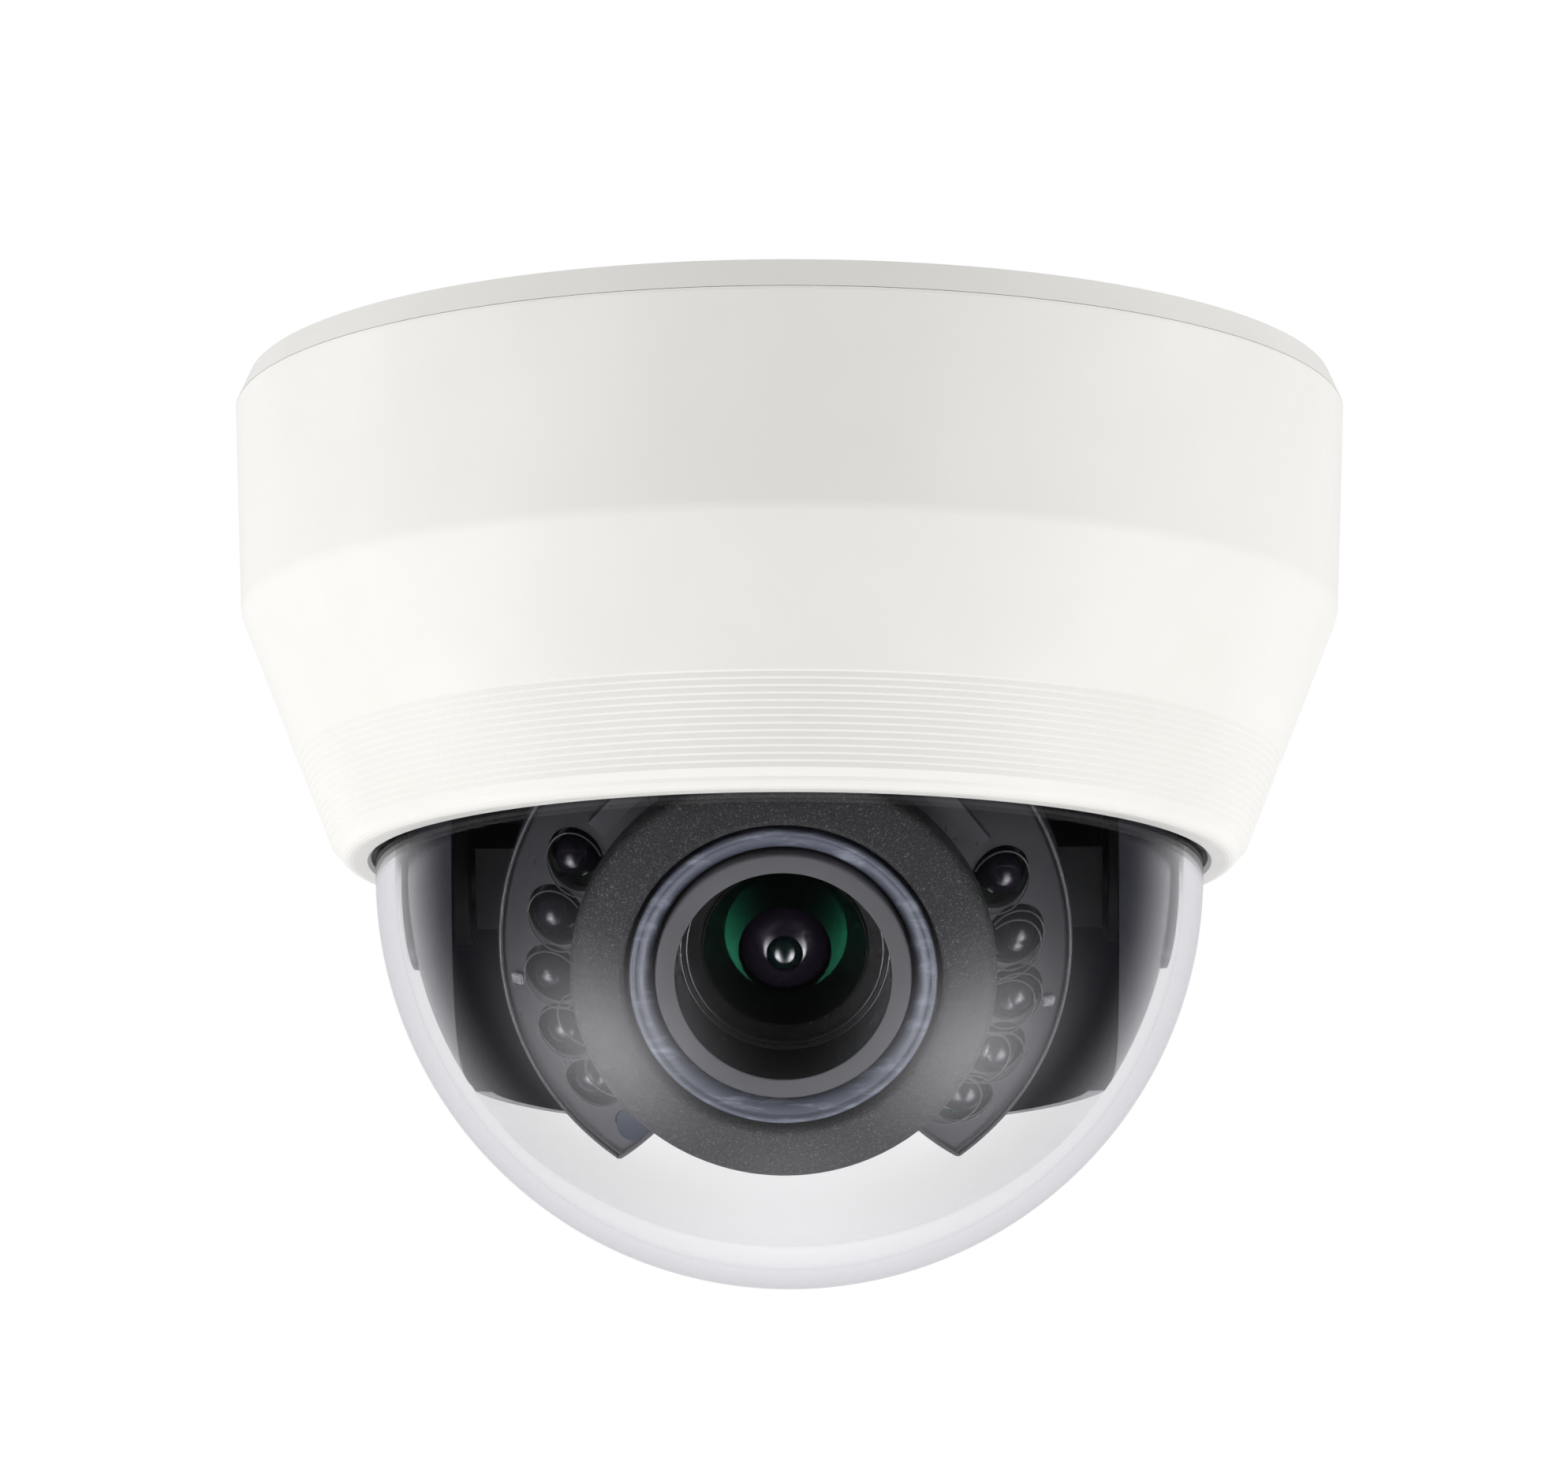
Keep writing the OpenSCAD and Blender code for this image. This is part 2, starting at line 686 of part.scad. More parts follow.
module light_sensor() {
    color("#8a93a6") on_roll() rotate([0, 0, sensor_angle]) translate([led_pitch_r, 0, 0])
        disc(led_r - 0.5, led_board_front, led_tip - 0.8);
}

// Two crescents on a sphere, joined by the ring that the foam sits on
module led_cover() {
    inner_r = shield_r - 0.8;
    seat_z = shield_back - cover_seat_t;
    skirt_back = led_board_front - 3.4;
    color("#3b3b41") on_roll() difference() {
        union() {
            intersection() {
                rotate_extrude($fn = 144) {
                    difference() {
                        circle(r = led_sphere_r);
                        circle(r = led_sphere_r - led_cover_wall);
                        translate([-2 * led_sphere_r, -2 * led_sphere_r])
                            square([2 * led_sphere_r + inner_r, 4 * led_sphere_r]);
                        translate([led_ring_r, -2 * led_sphere_r]) square(4 * led_sphere_r);
                        translate([0, -2 * led_sphere_r]) square([2 * led_sphere_r, 2 * led_sphere_r]);
                    }
                    translate([led_ring_r - led_cover_wall, skirt_back])
                        square([led_cover_wall, sqrt(pow(led_sphere_r, 2) - pow(led_ring_r, 2)) - skirt_back]);
                }
                sector(2 * led_ring_r, -50, 236, 0, led_sphere_r);
            }
            ring(hood_r + 0.9, shield_r - 0.1, seat_z, shield_back);
            // Raised arms that run up beside the foam
            for (s = [-1, 1]) rotate([0, 0, 90 - s * 50]) translate([shield_r + 1.6, s * 3, shield_back - 3.4])
                cube([2.6, 11, 4.4], center = true);
        }
        disc(shield_r + 0.05, shield_back, led_sphere_r);
        for (side = [-1, 1], a = led_angles(side))
            rotate([0, 0, a]) translate([led_pitch_r, 0, 0]) disc(led_hole_r, led_board_front - 1, led_sphere_r + 1);
        rotate([0, 0, sensor_angle]) translate([led_pitch_r, 0, 0])
            disc(led_r - 0.3, led_board_front - 1, led_sphere_r + 1);
    }
}

module light_shield() {
    edge = 1.2;
    color("#48484a") on_roll() rotate_extrude() polygon(concat(
        [[hood_r + 0.5, shield_back], [shield_r, shield_back]],
        arc_points(shield_r - edge, shield_front - edge - 0.9, edge, 0, 80, 5),
        [[hood_r + 1.1, shield_front], [hood_r + 0.5, shield_front - 0.6]]
    ));
}

// Rubber ring, cup-shaped, between the foam and the lens
module hood_ring() {
    inner = bezel_r + part_gap;
    color("#50525c") on_roll() rotate_extrude() polygon([
        [inner, shield_back - 2], [hood_r, shield_back - 2], [hood_r, bezel_front + 0.2],
        [hood_r - 0.9, bezel_front + 0.2], [hood_r - 1.2, bezel_front - 1.4], [inner, bezel_front - 1.8]
    ]);
}

// ---------------------------------------------------------------- lens rings and cells

module grip_ring(z0, z1, r_in, r_out) {
    flutes = 36;
    difference() {
        ring(r_in, r_out, z0, z1);
        for (i = [0:flutes - 1]) rotate([0, 0, i * 360 / flutes]) translate([r_out + 0.2, 0, 0])
            disc(0.5, z0 - 1, z1 + 1);
    }
}

module zoom_ring() {
    color("#222226") on_roll() difference() {
        grip_ring(zoom_z[0], zoom_z[1], barrel_r + run_gap, barrel_r + 3);
        lock_hole((zoom_z[0] + zoom_z[1]) / 2);
    }
}

module focus_ring() {
    color("#222226") on_roll() difference() {
        union() {
            grip_ring(focus_z[0], focus_z[1], bezel_r + run_gap, bezel_r + 2);
            ring(barrel_r + run_gap, bezel_r + 1, focus_z[0], focus_z[0] + focus_flange);
        }
        lock_hole(focus_z[0] + focus_flange / 2);
    }
}

module lock_hole(z) {
    translate([0, 0, z]) rotate([0, 90, lock_angle]) disc(0.8, barrel_r - 1, barrel_r + 6);
}

module lock_lever(z) {
    rotate([0, 0, lock_angle]) translate([0, 0, z]) rotate([0, 90, 0]) {
        disc(0.8, barrel_r + run_gap, barrel_r + 3.2);
        disc(1.3, barrel_r + 3.2, barrel_r + 4.6);
    }
}

module zoom_lock() {
    color("silver") on_roll() lock_lever((zoom_z[0] + zoom_z[1]) / 2);
}

module focus_lock() {
    color("silver") on_roll() lock_lever(focus_z[0] + focus_flange / 2);
}

// The sliding front of the lens: hood, seat for the glass and a skirt over the barrel
module front_cell() {
    color("#2b2b30") on_roll() rotate_extrude() polygon([
        [barrel_r + run_gap, skirt_back], [bezel_r, skirt_back], [bezel_r, bezel_front],
        [lens_open_r, bezel_front], [lens_open_r - 0.1, glass_front + 1.1],
        [lens_open_r - 0.1, glass_front - 1.6], [lens_open_r - 1.2, glass_front - 2.4],
        [lens_open_r - 1.2, cell_step], [barrel_r + run_gap, cell_step]
    ]);
}

module front_lens() {
    dome_height = 1.6;
    r = lens_open_r - 0.1;
    bulge = (r * r + dome_height * dome_height) / (2 * dome_height);
    color("#1c3a30", 0.6) on_roll() intersection() {
        disc(r, glass_front - 1.6, glass_front + 2);
        translate([0, 0, glass_front + dome_height - bulge]) sphere(r = bulge, $fn = 144);
    }
}

module retaining_ring() {
    color("#3a3a40") on_roll() ring(lens_open_r - 1, lens_open_r - 0.1, glass_front + 0.35, glass_front + 1.1);
}

module zoom_cell() {
    color("#17171a") on_roll() rotate_extrude() polygon([
        [5, 4], [barrel_r - barrel_wall - run_gap, 4], [barrel_r - barrel_wall - run_gap, 16],
        [8.2, 16], [8.2, 13], [7, 12], [7, 6], [5, 5]
    ]);
}

module zoom_lens() {
    color("#2a2340", 0.7) on_roll() intersection() {
        disc(6.9, 6.4, 13);
        sphere(r = 12.6, $fn = 96);
    }
}

module filter_carrier() {
    color("#d8d8d8") on_roll() difference() {
        translate([-carrier_w / 2, -carrier_w / 2, holder_back - 2.1]) cube([carrier_w, carrier_w, 1.2]);
        translate([-filter_w / 2, -filter_w / 2, holder_back - 3]) cube([filter_w, filter_w, 3]);
    }
}

module ir_filter() {
    color("#8fb7c9", 0.5) on_roll()
        translate([-filter_w / 2, -filter_w / 2, holder_back - 2]) cube([filter_w, filter_w, 0.9]);
}

mounting_base();
pan_hub();
main_board();
processor();
network_socket();
power_terminal();
card_socket();
board_screws();
pan_retainer();
retainer_screws();
housing();
dome();
dome_gasket();
clamp_ring();
clamp_screws();
pan_table();
yoke();
yoke_screws();
liner();
tilt_cradle();
tilt_screws();
lens_holder();
roll_clip();
lens_barrel();
rear_lens();
filter_frame();
sensor_board();
image_sensor();
sensor_screws();
led_bracket();
bracket_screws();
led_board();
leds();
light_sensor();
led_cover();
light_shield();
hood_ring();
zoom_ring();
zoom_lock();
focus_ring();
focus_lock();
front_cell();
front_lens();
retaining_ring();
zoom_cell();
zoom_lens();
filter_carrier();
ir_filter();
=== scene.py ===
"""Looks of a ceiling dome camera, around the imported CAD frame. Metres, +Z up, the lens looks to -Y."""

import json
import math

import bmesh
import bpy
from mathutils import Matrix, Vector
from mathutils.noise import noise as noise_at


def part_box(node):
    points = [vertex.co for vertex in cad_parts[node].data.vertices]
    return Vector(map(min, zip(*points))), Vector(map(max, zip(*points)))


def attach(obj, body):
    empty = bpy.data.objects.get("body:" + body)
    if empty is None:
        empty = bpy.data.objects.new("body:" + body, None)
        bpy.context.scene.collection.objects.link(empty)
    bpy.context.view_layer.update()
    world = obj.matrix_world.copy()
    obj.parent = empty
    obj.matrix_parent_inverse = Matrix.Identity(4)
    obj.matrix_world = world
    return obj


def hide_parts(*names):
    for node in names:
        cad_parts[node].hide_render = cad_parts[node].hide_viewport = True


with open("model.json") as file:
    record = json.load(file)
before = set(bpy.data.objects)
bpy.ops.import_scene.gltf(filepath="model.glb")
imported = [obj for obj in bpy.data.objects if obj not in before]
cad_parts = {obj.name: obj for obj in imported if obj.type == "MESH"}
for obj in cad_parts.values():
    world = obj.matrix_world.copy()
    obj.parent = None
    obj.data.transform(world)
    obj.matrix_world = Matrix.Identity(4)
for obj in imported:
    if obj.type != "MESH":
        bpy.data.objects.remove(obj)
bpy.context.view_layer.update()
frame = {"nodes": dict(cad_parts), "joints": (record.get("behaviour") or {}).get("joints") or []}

MM = 0.001
scene = bpy.context.scene
nodes = frame["nodes"]
joints = {joint["name"]: joint for joint in frame["joints"]}

# ---------------------------------------------------------------- places taken from the frame

CENTRE = Vector(joints["tilt"]["pos_m"])
LENS_AXIS = Vector(joints["roll"]["axis"]).normalized()
HEAD_RIGHT = Vector(joints["filter_shift"]["axis"]).normalized()
HEAD_UP = LENS_AXIS.cross(HEAD_RIGHT).normalized()


def matrix_from(right, up, out, origin):
    """A placement whose X, Y and Z run along right, up and out."""
    return Matrix.Translation(origin) @ Matrix((right, up, out)).transposed().to_4x4()


HEAD = matrix_from(HEAD_RIGHT, HEAD_UP, LENS_AXIS, CENTRE)
UPRIGHT = Matrix.Identity(4)


def along_lens(node):
    """Least and greatest distance of a node along the lens from the dome's centre, then of its radius."""
    depths, radii = [], []
    for vertex in nodes[node].data.vertices:
        local = HEAD.inverted() @ vertex.co
        depths.append(local.z)
        radii.append(math.hypot(local.x, local.y))
    return min(depths), max(depths), min(radii), max(radii)


def about_centre(node):
    """(least, greatest) distance of a node's points from the centre of the dome."""
    spans = [(vertex.co - CENTRE).length for vertex in nodes[node].data.vertices]
    return min(spans), max(spans)


BODY_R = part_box("housing")[1].x
JOINT_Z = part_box("housing")[1].z
DOME_R = CENTRE.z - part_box("dome")[0].z

# ---------------------------------------------------------------- camera, floor and light

CAMERA_AT = Vector((0.0, -0.7917, -0.1837))
CAMERA_PITCH = math.radians(10.41)
CAMERA_LENS = 171.4
CAMERA_FILM = 36
CAMERA_SHIFT = -0.0035

camera_data = bpy.data.cameras.new("camera")
camera = bpy.data.objects.new("camera", camera_data)
scene.collection.objects.link(camera)
camera.location = CAMERA_AT
camera.rotation_euler = (math.radians(90) + CAMERA_PITCH, 0, 0)
camera_data.sensor_width = CAMERA_FILM
camera_data.lens = CAMERA_LENS
camera_data.shift_x = CAMERA_SHIFT
scene.camera = camera

scene.view_settings.view_transform = "Standard"
scene.view_settings.look = "None"


def new_material(name):
    """A material with an empty node tree, its nodes and a linker."""
    material = bpy.data.materials.new(name)
    material.use_nodes = True
    material.node_tree.nodes.clear()
    return material, material.node_tree.nodes, material.node_tree.links.new


def set_inputs(node, **values):
    """Sets a node's sockets by name, with _ for a space."""
    for key, value in values.items():
        node.inputs[key.replace("_", " ")].default_value = value
    return node


def surface(graph, link, shader):
    """Ends a material in its output."""
    output = graph.new("ShaderNodeOutputMaterial")
    link(shader, output.inputs["Surface"])


def ramp(graph, link, source, low, high, value_low, value_high, smooth=False):
    """Maps source from low..high to value_low..value_high."""
    node = set_inputs(graph.new("ShaderNodeMapRange"), From_Min=low, From_Max=high, To_Min=value_low,
                      To_Max=value_high)
    if smooth:
        node.interpolation_type = "SMOOTHSTEP"
    link(source, node.inputs["Value"])
    return node.outputs["Result"]


def heading(azimuth, elevation):
    """A direction: azimuth from the front (-Y) towards +X, elevation above the horizon, in degrees."""
    turn, rise = math.radians(azimuth), math.radians(elevation)
    return Vector((math.sin(turn) * math.cos(rise), -math.cos(turn) * math.cos(rise), math.sin(rise)))


# The studio: what lights the object, what shows behind it, and what its gloss mirrors
FILL = 0.78
BACKDROP = 1.0
DARK_FRONT = 0.012
BRIGHT_BACK = 0.8
FRONT_ENDS, BACK_STARTS = 0.35, 0.85
GLOSS_TINT = (0.96, 0.96, 1, 1)
# Light that has crossed the dome's two faces twice comes from something inside it
INSIDE_DOME = 3.5
# (direction, brightness, spread in degrees) of what the dome mirrors: two low softboxes and the table
MIRRORED_BOXES = [
    (heading(-77, -44), 2.5, 14),
    (heading(77, -44), 2.5, 14),
    (heading(180, -84), 0.5, 13),
    (heading(180, -56), 0.55, 14),
]
# The same for what is inside the dome: (azimuth, elevation, brightness) of strips in front, on each side
INNER_STRIPS = ((44, -20, 3.5), (46, -40, 8.0), (50, -60, 4.0), (66, -38, 3.0))
INNER_SPREAD = 10
INNER_BOXES = [(heading(side * azimuth, elevation), brightness, INNER_SPREAD)
               for side in (-1, 1) for azimuth, elevation, brightness in INNER_STRIPS]

LAMP_TARGET = Vector((0, 0, -0.05))
LAMP_REACH = 0.9
LAMP_RISE = -25
LAMP_SIZE = 0.6
FLOOR_Z = -0.9
FLOOR_SIZE = 6


def world_light():
    """A white studio. Gloss sees a dark front, a bright back and the boxes above instead."""
    world = bpy.data.worlds.new("studio")
    scene.world = world
    world.use_nodes = True
    tree = world.node_tree
    tree.nodes.clear()
    link = tree.links.new

    def math_node(operation, first, second):
        node = tree.nodes.new("ShaderNodeMath")
        node.operation = operation
        for socket, value in zip(node.inputs, (first, second)):
            if isinstance(value, (int, float)):
                socket.default_value = value
            else:
                link(value, socket)
        return node.outputs[0]

    path = tree.nodes.new("ShaderNodeLightPath")
    output = tree.nodes.new("ShaderNodeOutputWorld")
    direction = tree.nodes.new("ShaderNodeTexCoord").outputs["Generated"]
    axes = tree.nodes.new("ShaderNodeSeparateXYZ")
    link(direction, axes.inputs[0])
    front_to_back = ramp(tree.nodes, link, axes.outputs["Y"], FRONT_ENDS, BACK_STARTS, DARK_FRONT,
                         BRIGHT_BACK, smooth=True)

    def with_boxes(boxes):
        gloss = front_to_back
        for aim, brightness, spread in boxes:
            towards = tree.nodes.new("ShaderNodeVectorMath")
            towards.operation = "DOT_PRODUCT"
            towards.inputs[1].default_value = aim
            link(direction, towards.inputs[0])
            away = math_node("SUBTRACT", 1.0, towards.outputs["Value"])
            narrow = 1 / (1 - math.cos(math.radians(spread)))
            fade = math_node("EXPONENT", math_node("MULTIPLY", away, -0.5 * narrow), 0)
            gloss = math_node("ADD", gloss, math_node("MULTIPLY", fade, brightness))
        return gloss

    inside = math_node("GREATER_THAN", path.outputs["Transmission Depth"], INSIDE_DOME)
    outer, inner = with_boxes(MIRRORED_BOXES), with_boxes(INNER_BOXES)
    gloss = math_node("ADD", outer, math_node("MULTIPLY", inside, math_node("SUBTRACT", inner, outer)))
    fill, mirrored, backdrop = (tree.nodes.new("ShaderNodeBackground") for _ in range(3))
    fill.inputs["Strength"].default_value = FILL
    backdrop.inputs["Strength"].default_value = BACKDROP
    for white in (fill, backdrop):
        white.inputs["Color"].default_value = (1, 1, 1, 1)
    mirrored.inputs["Color"].default_value = GLOSS_TINT
    link(gloss, mirrored.inputs["Strength"])
    lit = tree.nodes.new("ShaderNodeMixShader")
    seen = math_node("MAXIMUM", path.outputs["Is Camera Ray"], path.outputs["Is Transmission Ray"])
    link(seen, lit.inputs[0])
    link(fill.outputs[0], lit.inputs[1])
    link(backdrop.outputs[0], lit.inputs[2])
    shown = tree.nodes.new("ShaderNodeMixShader")
    link(math_node("GREATER_THAN", path.outputs["Glossy Depth"], 0.5), shown.inputs[0])
    link(lit.outputs[0], shown.inputs[1])
    link(mirrored.outputs[0], shown.inputs[2])
    link(shown.outputs[0], output.inputs["Surface"])


def softbox(name, place, target, size, power):
    """A soft area lamp aimed at the target, seen only as light."""
    data = bpy.data.lights.new(name, "AREA")
    data.shape = "SQUARE"
    data.size = size
    data.energy = power
    lamp = bpy.data.objects.new(name, data)
    scene.collection.objects.link(lamp)
    lamp.location = place
    lamp.rotation_euler = (target - place).to_track_quat("-Z", "Y").to_euler()
    lamp.visible_camera = False
    lamp.visible_transmission = False
    lamp.visible_glossy = False
    return lamp


world_light()
for box_name, azimuth, power in (("left_box", -80, 4.6), ("right_box", 80, 4.2)):
    softbox(box_name, LAMP_TARGET + LAMP_REACH * heading(azimuth, LAMP_RISE), LAMP_TARGET, LAMP_SIZE, power)

bpy.ops.mesh.primitive_plane_add(size=FLOOR_SIZE, location=(0, 0, FLOOR_Z))
floor = bpy.context.object
floor.name = "floor"
floor.visible_glossy = False
floor.visible_transmission = False

# ---------------------------------------------------------------- materials


def bump_chain(graph, link, layers):
    """Bump nodes one on another. Each layer is (height socket, strength, distance)."""
    normal = None
    for height, strength, distance in layers:
        bump = set_inputs(graph.new("ShaderNodeBump"), Strength=strength, Distance=distance)
        link(height, bump.inputs["Height"])
        if normal is not None:
            link(normal, bump.inputs["Normal"])
        normal = bump.outputs["Normal"]
    return normal


def noise(graph, link, scale, detail=3, roughness=0.5, stretch=None):
    """A noise in object space. Scale is per metre; stretch multiplies the axes."""
    where = graph.new("ShaderNodeTexCoord").outputs["Object"]
    if stretch:
        mapping = graph.new("ShaderNodeMapping")
        mapping.inputs["Scale"].default_value = stretch
        link(where, mapping.inputs["Vector"])
        where = mapping.outputs["Vector"]
    texture = set_inputs(graph.new("ShaderNodeTexNoise"), Scale=scale, Detail=detail, Roughness=roughness)
    link(where, texture.inputs["Vector"])
    return texture.outputs["Fac"]


def tint(graph, link, factor, dark, light):
    """A colour between dark and light by factor."""
    mix = graph.new("ShaderNodeMix")
    mix.data_type = "RGBA"
    link(factor, mix.inputs["Factor"])
    mix.inputs["A"].default_value = (*dark, 1)
    mix.inputs["B"].default_value = (*light, 1)
    return mix.outputs["Result"]


def moulded(name, dark, light, rough=(0.35, 0.45), grain=4000, grain_depth=0.00001, patch=60):
    """Moulded plastic: slight colour drift, a fine grain and uneven gloss."""
    material, graph, link = new_material(name)
    shader = graph.new("ShaderNodeBsdfPrincipled")
    drift = noise(graph, link, patch, detail=4)
    fine = noise(graph, link, grain, detail=2)
    colour = tint(graph, link, ramp(graph, link, drift, 0.3, 0.7, 0, 1), dark, light)
    link(colour, shader.inputs["Base Color"])
    gloss = noise(graph, link, patch * 6)
    link(ramp(graph, link, gloss, 0.3, 0.7, *rough), shader.inputs["Roughness"])
    link(bump_chain(graph, link, [(fine, 0.35, grain_depth), (drift, 0.2, 0.0001)]), shader.inputs["Normal"])
    surface(graph, link, shader.outputs[0])
    return material


def polished(name, dark, light, rough=(0.05, 0.09), ior=1.5, tinted=(1, 1, 1)):
    """Polished resin or coated glass: clean gloss, a faint drift in colour and polish."""
    material, graph, link = new_material(name)
    shader = set_inputs(graph.new("ShaderNodeBsdfPrincipled"), IOR=ior)
    drift = noise(graph, link, scale=180)
    wipes = noise(graph, link, scale=700)
    link(tint(graph, link, drift, dark, light), shader.inputs["Base Color"])
    link(ramp(graph, link, wipes, 0.35, 0.65, *rough), shader.inputs["Roughness"])
    link(bump_chain(graph, link, [(drift, 0.1, 0.00003)]), shader.inputs["Normal"])
    shader.inputs["Specular Tint"].default_value = (*tinted, 1)
    surface(graph, link, shader.outputs[0])
    return material


def metal(name, colour, rough=(0.2, 0.35)):
    """Plated steel with a fine turned grain."""
    material, graph, link = new_material(name)
    shader = set_inputs(graph.new("ShaderNodeBsdfPrincipled"), Metallic=1.0)
    turned = noise(graph, link, scale=900, detail=4, stretch=(1, 1, 6))
    dark = tuple(part * 0.8 for part in colour)
    link(tint(graph, link, turned, dark, colour), shader.inputs["Base Color"])
    link(ramp(graph, link, turned, 0.3, 0.7, *rough), shader.inputs["Roughness"])
    link(bump_chain(graph, link, [(turned, 0.2, 0.00002)]), shader.inputs["Normal"])
    surface(graph, link, shader.outputs[0])
    return material


def clear(name, colour, ior=1.5, rough=0.0):
    """Clear plastic or glass that lets lamps through."""
    material, graph, link = new_material(name)
    glass = set_inputs(graph.new("ShaderNodeBsdfPrincipled"), Roughness=rough, IOR=ior)
    glass.inputs["Base Color"].default_value = (*colour, 1)
    glass.inputs["Transmission Weight"].default_value = 1.0
    open_way = graph.new("ShaderNodeBsdfTransparent")
    open_way.inputs["Color"].default_value = (*colour, 1)
    path = graph.new("ShaderNodeLightPath")
    either = graph.new("ShaderNodeMath")
    either.operation = "MAXIMUM"
    mix = graph.new("ShaderNodeMixShader")
    link(path.outputs["Is Shadow Ray"], either.inputs[0])
    link(path.outputs["Is Diffuse Ray"], either.inputs[1])
    link(either.outputs[0], mix.inputs[0])
    link(glass.outputs[0], mix.inputs[1])
    link(open_way.outputs[0], mix.inputs[2])
    surface(graph, link, mix.outputs[0])
    return material


WHITE = moulded("white_plastic", (0.803, 0.793, 0.757), (0.833, 0.823, 0.79), rough=(0.32, 0.42),
                grain=2600, grain_depth=0.000012)
FLOOR = moulded("floor_paper", (0.86, 0.86, 0.86), (0.9, 0.9, 0.9), rough=(0.7, 0.8), grain=300)
LINER = moulded("liner_plastic", (0.018, 0.018, 0.026), (0.024, 0.024, 0.034), rough=(0.16, 0.24),
                grain=3000, grain_depth=0.000006)
COVER = moulded("led_cover_plastic", (0.030, 0.030, 0.034), (0.038, 0.038, 0.043), rough=(0.26, 0.36),
                grain=3500)
BRACKET = moulded("textured_plastic", (0.016, 0.016, 0.019), (0.022, 0.022, 0.026), rough=(0.4, 0.55),
                  grain=3500, grain_depth=0.00005)
BLACK = moulded("black_plastic", (0.006, 0.006, 0.007), (0.010, 0.010, 0.011), rough=(0.3, 0.42))
RUBBER = moulded("black_rubber", (0.004, 0.004, 0.004), (0.008, 0.008, 0.008), rough=(0.55, 0.7))
BEZEL = moulded("bezel_paint", (0.090, 0.090, 0.098), (0.104, 0.104, 0.113), rough=(0.5, 0.6), grain=5000)
BOARD = moulded("board_lacquer", (0.01, 0.06, 0.03), (0.015, 0.09, 0.04), rough=(0.25, 0.35), patch=200)
CHIP = moulded("chip_resin", (0.012, 0.012, 0.013), (0.02, 0.02, 0.022), rough=(0.45, 0.55))
GREEN = moulded("terminal_plastic", (0.03, 0.25, 0.08), (0.04, 0.30, 0.10), rough=(0.4, 0.5))
PALE = moulded("carrier_plastic", (0.6, 0.6, 0.58), (0.68, 0.68, 0.66), rough=(0.4, 0.5))
LED = polished("led_epoxy", (0.005, 0.004, 0.008), (0.008, 0.006, 0.013), rough=(0.12, 0.18))
SENSOR = polished("sensor_window", (0.03, 0.04, 0.07), (0.045, 0.06, 0.10), rough=(0.08, 0.14))
BALL = polished("inner_glass", (0.016, 0.011, 0.024), (0.026, 0.018, 0.036), rough=(0.10, 0.16), ior=1.9)
CORE = polished("core_glass", (0.004, 0.012, 0.012), (0.006, 0.02, 0.02), rough=(0.05, 0.08), ior=1.9)
SATIN = moulded("lens_satin", (0.008, 0.008, 0.009), (0.012, 0.012, 0.013), rough=(0.18, 0.28),
                grain=5000, grain_depth=0.000004)
RING = polished("ring_paint", (0.02, 0.02, 0.022), (0.035, 0.035, 0.038), rough=(0.10, 0.16), ior=1.8)
NOTCH = moulded("bright_texture", (0.06, 0.06, 0.07), (0.22, 0.22, 0.24), rough=(0.3, 0.5), patch=2400,
                grain=6000, grain_depth=0.00006)
STEEL = metal("plated_steel", (0.62, 0.62, 0.63))
CLEAR = clear("clear_dome", (0.985, 0.985, 0.99), ior=1.5)
LENS_GLASS = polished("front_coating", (0.0015, 0.002, 0.002), (0.002, 0.003, 0.0025), rough=(0.05, 0.07),
                      ior=1.6, tinted=(0.03, 0.36, 0.19))
floor.data.materials.append(FLOOR)


def foam():
    """Closed-cell foam: dark and grainy. The sparkle of its cells is painted as pale specks in its colour,
    and the surface is also glossier there.
    """
    material, graph, link = new_material("shield_foam")
    shader = graph.new("ShaderNodeBsdfPrincipled")
    cells = noise(graph, link, scale=5200, roughness=0.7)
    patches = noise(graph, link, scale=900)
    # Painted glints: pale specks in the foam's colour stand in for the sparkle of its cells
    painted_glint = ramp(graph, link, cells, 0.56, 0.74, 0, 1)
    link(tint(graph, link, painted_glint, (0.012, 0.012, 0.013), (0.14, 0.14, 0.14)), shader.inputs["Base Color"])
    link(ramp(graph, link, cells, 0.3, 0.7, 0.75, 0.45), shader.inputs["Roughness"])
    link(bump_chain(graph, link, [(cells, 0.9, 0.00012), (patches, 0.3, 0.0001)]), shader.inputs["Normal"])
    surface(graph, link, shader.outputs[0])
    return material


def scuffed():
    """Smooth bluish rubber with pale scuffs running round it."""
    material, graph, link = new_material("hood_rubber")
    shader = graph.new("ShaderNodeBsdfPrincipled")
    streaks = noise(graph, link, scale=160, detail=6, roughness=0.7, stretch=(1, 1, 5))
    marks = ramp(graph, link, streaks, 0.5, 0.72, 0, 1)
    link(tint(graph, link, marks, (0.06, 0.066, 0.086), (0.20, 0.215, 0.26)), shader.inputs["Base Color"])
    link(ramp(graph, link, streaks, 0.3, 0.7, 0.25, 0.5), shader.inputs["Roughness"])
    link(bump_chain(graph, link, [(streaks, 0.3, 0.0001)]), shader.inputs["Normal"])
    surface(graph, link, shader.outputs[0])
    return material


FOAM = foam()
HOOD = scuffed()

# ---------------------------------------------------------------- mesh helpers


def shade(mesh, angle=35):
    """Smooth shading with sharp edges past the angle."""
    limit = math.radians(angle)
    work = bmesh.new()
    work.from_mesh(mesh)
    for face in work.faces:
        face.smooth = True
    for edge in work.edges:
        edge.smooth = len(edge.link_faces) == 2 and edge.calc_face_angle(0) < limit
    work.to_mesh(mesh)
    work.free()


def piece(name, mesh, body, material, replaced=()):
    """Links a mesh as a piece of the object."""
    made = bpy.data.objects.new(name, mesh)
    scene.collection.objects.link(made)
    made.data.materials.append(material)
    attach(made, body)
    if replaced:
        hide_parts(*replaced)
    return made


